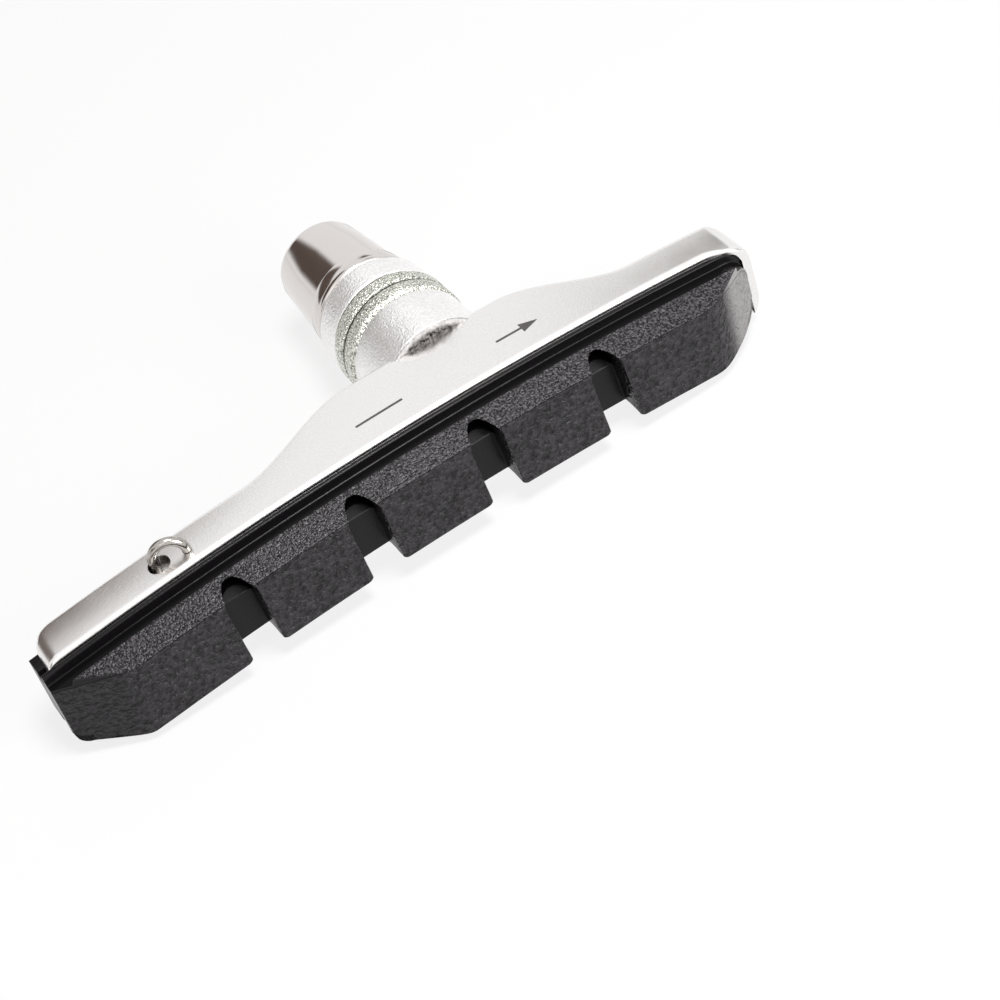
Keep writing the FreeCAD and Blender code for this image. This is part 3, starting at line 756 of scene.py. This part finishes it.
# %% [markdown]
# ## Camera
# The photo's camera was solved from points on the shoe: a direction to the camera, a roll about it, a distance,
# a focal length in pixels of a 1000 pixel picture, and the pixel where the solved point lies.

# %% Camera
PICTURE, SENSOR = 1000.0, 36.0  # side of the picture in pixels, and of the sensor in millimetres
azimuth, elevation, roll = np.radians([-17.68, 41.939, -20.233])
distance, focal, pixel_x, pixel_y = 228.942, 2688.859, 409.462, 476.469
target = np.array([-8.4, -15.4, -0.8])
back = np.array([
    math.sin(azimuth) * math.cos(elevation), -math.cos(azimuth) * math.cos(elevation), math.sin(elevation),
])
right = np.cross(UPRIGHT, back)
right /= np.linalg.norm(right)
up = np.cross(back, right)
right, up = right * math.cos(roll) + up * math.sin(roll), up * math.cos(roll) - right * math.sin(roll)
off_x, off_y = (pixel_x - PICTURE / 2) / focal, (PICTURE / 2 - pixel_y) / focal
eye = target - distance * (off_x * right + off_y * up - back)
lens = bpy.data.cameras.new("photo_camera")
lens.sensor_width = SENSOR
lens.lens = focal * SENSOR / PICTURE
lens.clip_start = 0.01
lens.clip_end = 10.0
camera = bpy.data.objects.new("photo_camera", lens)
bpy.context.scene.collection.objects.link(camera)
pose = np.eye(4)
pose[:3, :3] = np.stack([right, up, back], axis=1)
pose[:3, 3] = eye * MM
camera.matrix_world = Matrix(pose.tolist())
bpy.context.scene.camera = camera
print("camera at", np.round(eye, 1), "mm, lens", round(lens.lens, 1), "mm")

# %% [markdown]
# ## Floor, flags and light
# A white floor and a white surround give the plain ground of a product photo. Bright metal on white would vanish,
# so dark cards, called flags, stand round the part outside the picture, and the metal shows them as dark bands.

# %% White floor
floor_z = float(cad_box[0][2]) / MM - 0.1
edge = np.linspace(-1500.0, 1500.0, 3)
gx, gy = np.meshgrid(edge, edge, indexing="ij")
floor = piece("floor", np.stack([gx, gy, 0 * gx + floor_z], axis=-1), wrap_columns=False)


def background_rays(tree):
    """One for rays that show the background: those of the camera, of gloss and of glass."""
    path = add(tree, "ShaderNodeLightPath").outputs
    shown = path["Is Camera Ray"]
    for ray in ("Is Glossy Ray", "Is Transmission Ray"):
        shown = add(tree, "ShaderNodeMath", {0: shown, 1: path[ray]}, operation="MAXIMUM").outputs["Value"]
    return shown


WHITE = (1.0, 1.0, 1.0, 1.0)
paper, tree, _ = finish("white_paper")
sheet = add(tree, "ShaderNodeBsdfDiffuse", {"Color": colour("#f6f6f6")}).outputs["BSDF"]
glow = add(tree, "ShaderNodeEmission", {"Color": WHITE, "Strength": 1.0}).outputs["Emission"]
seen = add(tree, "ShaderNodeMath", {0: background_rays(tree), 1: 0.8}, operation="MULTIPLY").outputs["Value"]
mixed = add(tree, "ShaderNodeMixShader", {0: seen, 1: sheet, 2: glow})
add(tree, "ShaderNodeOutputMaterial", {"Surface": mixed.outputs["Shader"]})
floor.data.materials.append(paper)
print("floor at", round(floor_z, 2), "mm")

# %% White surround, bright where it is seen or mirrored and dim as a lamp
world = bpy.data.worlds.new("white_studio")
bpy.context.scene.world = world
world.use_nodes = True
tree = world.node_tree
tree.nodes.clear()
dim = add(tree, "ShaderNodeBackground", {"Color": WHITE, "Strength": 0.14}).outputs["Background"]
white = add(tree, "ShaderNodeBackground", {"Color": WHITE, "Strength": 1.0}).outputs["Background"]
both = add(tree, "ShaderNodeMixShader", {0: background_rays(tree), 1: dim, 2: white})
add(tree, "ShaderNodeOutputWorld", {"Surface": both.outputs["Shader"]})
print("surround", world.name, "has", len(tree.nodes), "nodes")

# %% Lamps
SHOE_MIDDLE = (-8, -6, 0)


def facing(place):
    """Matrix that puts an object at a place in millimetres with its back turned to the middle of the shoe."""
    away = np.array(place, dtype=float) - np.array(SHOE_MIDDLE, dtype=float)
    away /= np.linalg.norm(away)
    side = np.cross(UPRIGHT, away)
    side /= np.linalg.norm(side)
    turned = np.eye(4)
    turned[:3, :3] = np.stack([side, np.cross(away, side), away], axis=1)
    turned[:3, 3] = np.array(place) * MM
    return turned


def lamp(name, place, size, power, mirrored):
    """A square soft lamp that faces the shoe, and that bright metal may or may not mirror."""
    data = bpy.data.lights.new(name, "AREA")
    data.size = size * MM
    data.energy = power
    made = bpy.data.objects.new(name, data)
    bpy.context.scene.collection.objects.link(made)
    made.matrix_world = Matrix(facing(place).tolist())
    made.visible_glossy = mirrored
    print(name, size, "mm wide,", power, "W")


lamp("top_box", (40, -110, 335), 110, 0.95, True)
lamp("key_box", (95, 225, 215), 150, 0.12, False)
lamp("fill_box", (-180, -260, 190), 140, 0.05, True)
lamp("side_box", (120, -290, 120), 190, 0.7, True)

# %% Felt of the flags, thin where the mark says so
felt, tree, _ = finish("dark_felt")
cloth = add(tree, "ShaderNodeBsdfDiffuse", {"Color": colour("#695c55")}).outputs["BSDF"]
gone = add(tree, "ShaderNodeBsdfTransparent").outputs["BSDF"]
dense = add(tree, "ShaderNodeAttribute", attribute_name="dense").outputs["Fac"]
veil = add(tree, "ShaderNodeMixShader", {0: dense, 1: gone, 2: cloth})
add(tree, "ShaderNodeOutputMaterial", {"Surface": veil.outputs["Shader"]})
print(felt.name, "has", len(tree.nodes), "nodes")


# %% Flags
def flag(name, place, width, height, soft):
    """A flat card of a width and a height that faces the shoe, thin towards its edges over a soft border; the
    camera doesn't see it."""
    turned = facing(place)
    u, v = np.meshgrid(np.linspace(-0.5, 0.5, 41), np.linspace(-0.5, 0.5, 41), indexing="ij")
    grid = np.array(place) + u[..., None] * width * turned[:3, 0] + v[..., None] * height * turned[:3, 1]
    dense = smooth((0.5 - np.abs(u)) * width / soft) * smooth((0.5 - np.abs(v)) * height / soft)
    made = piece(name, grid, wrap_columns=False, marks={"dense": dense})
    made.data.materials.append(felt)
    made.visible_camera = False


flag("back_flag", (-132, 225, 125), 300, 240, 42)
flag("left_flag", (-260, -60, 90), 180, 130, 40)
flag("right_flag", (250, -100, 80), 150, 100, 40)
flag("end_flag", (196, 225, 200), 130, 150, 60)

# %% [markdown]
# ## Colours as written
# The plain view transform shows a colour as its hex code says, so white paper stays white.

# %% Colours as written
bpy.context.scene.view_settings.view_transform = "Standard"
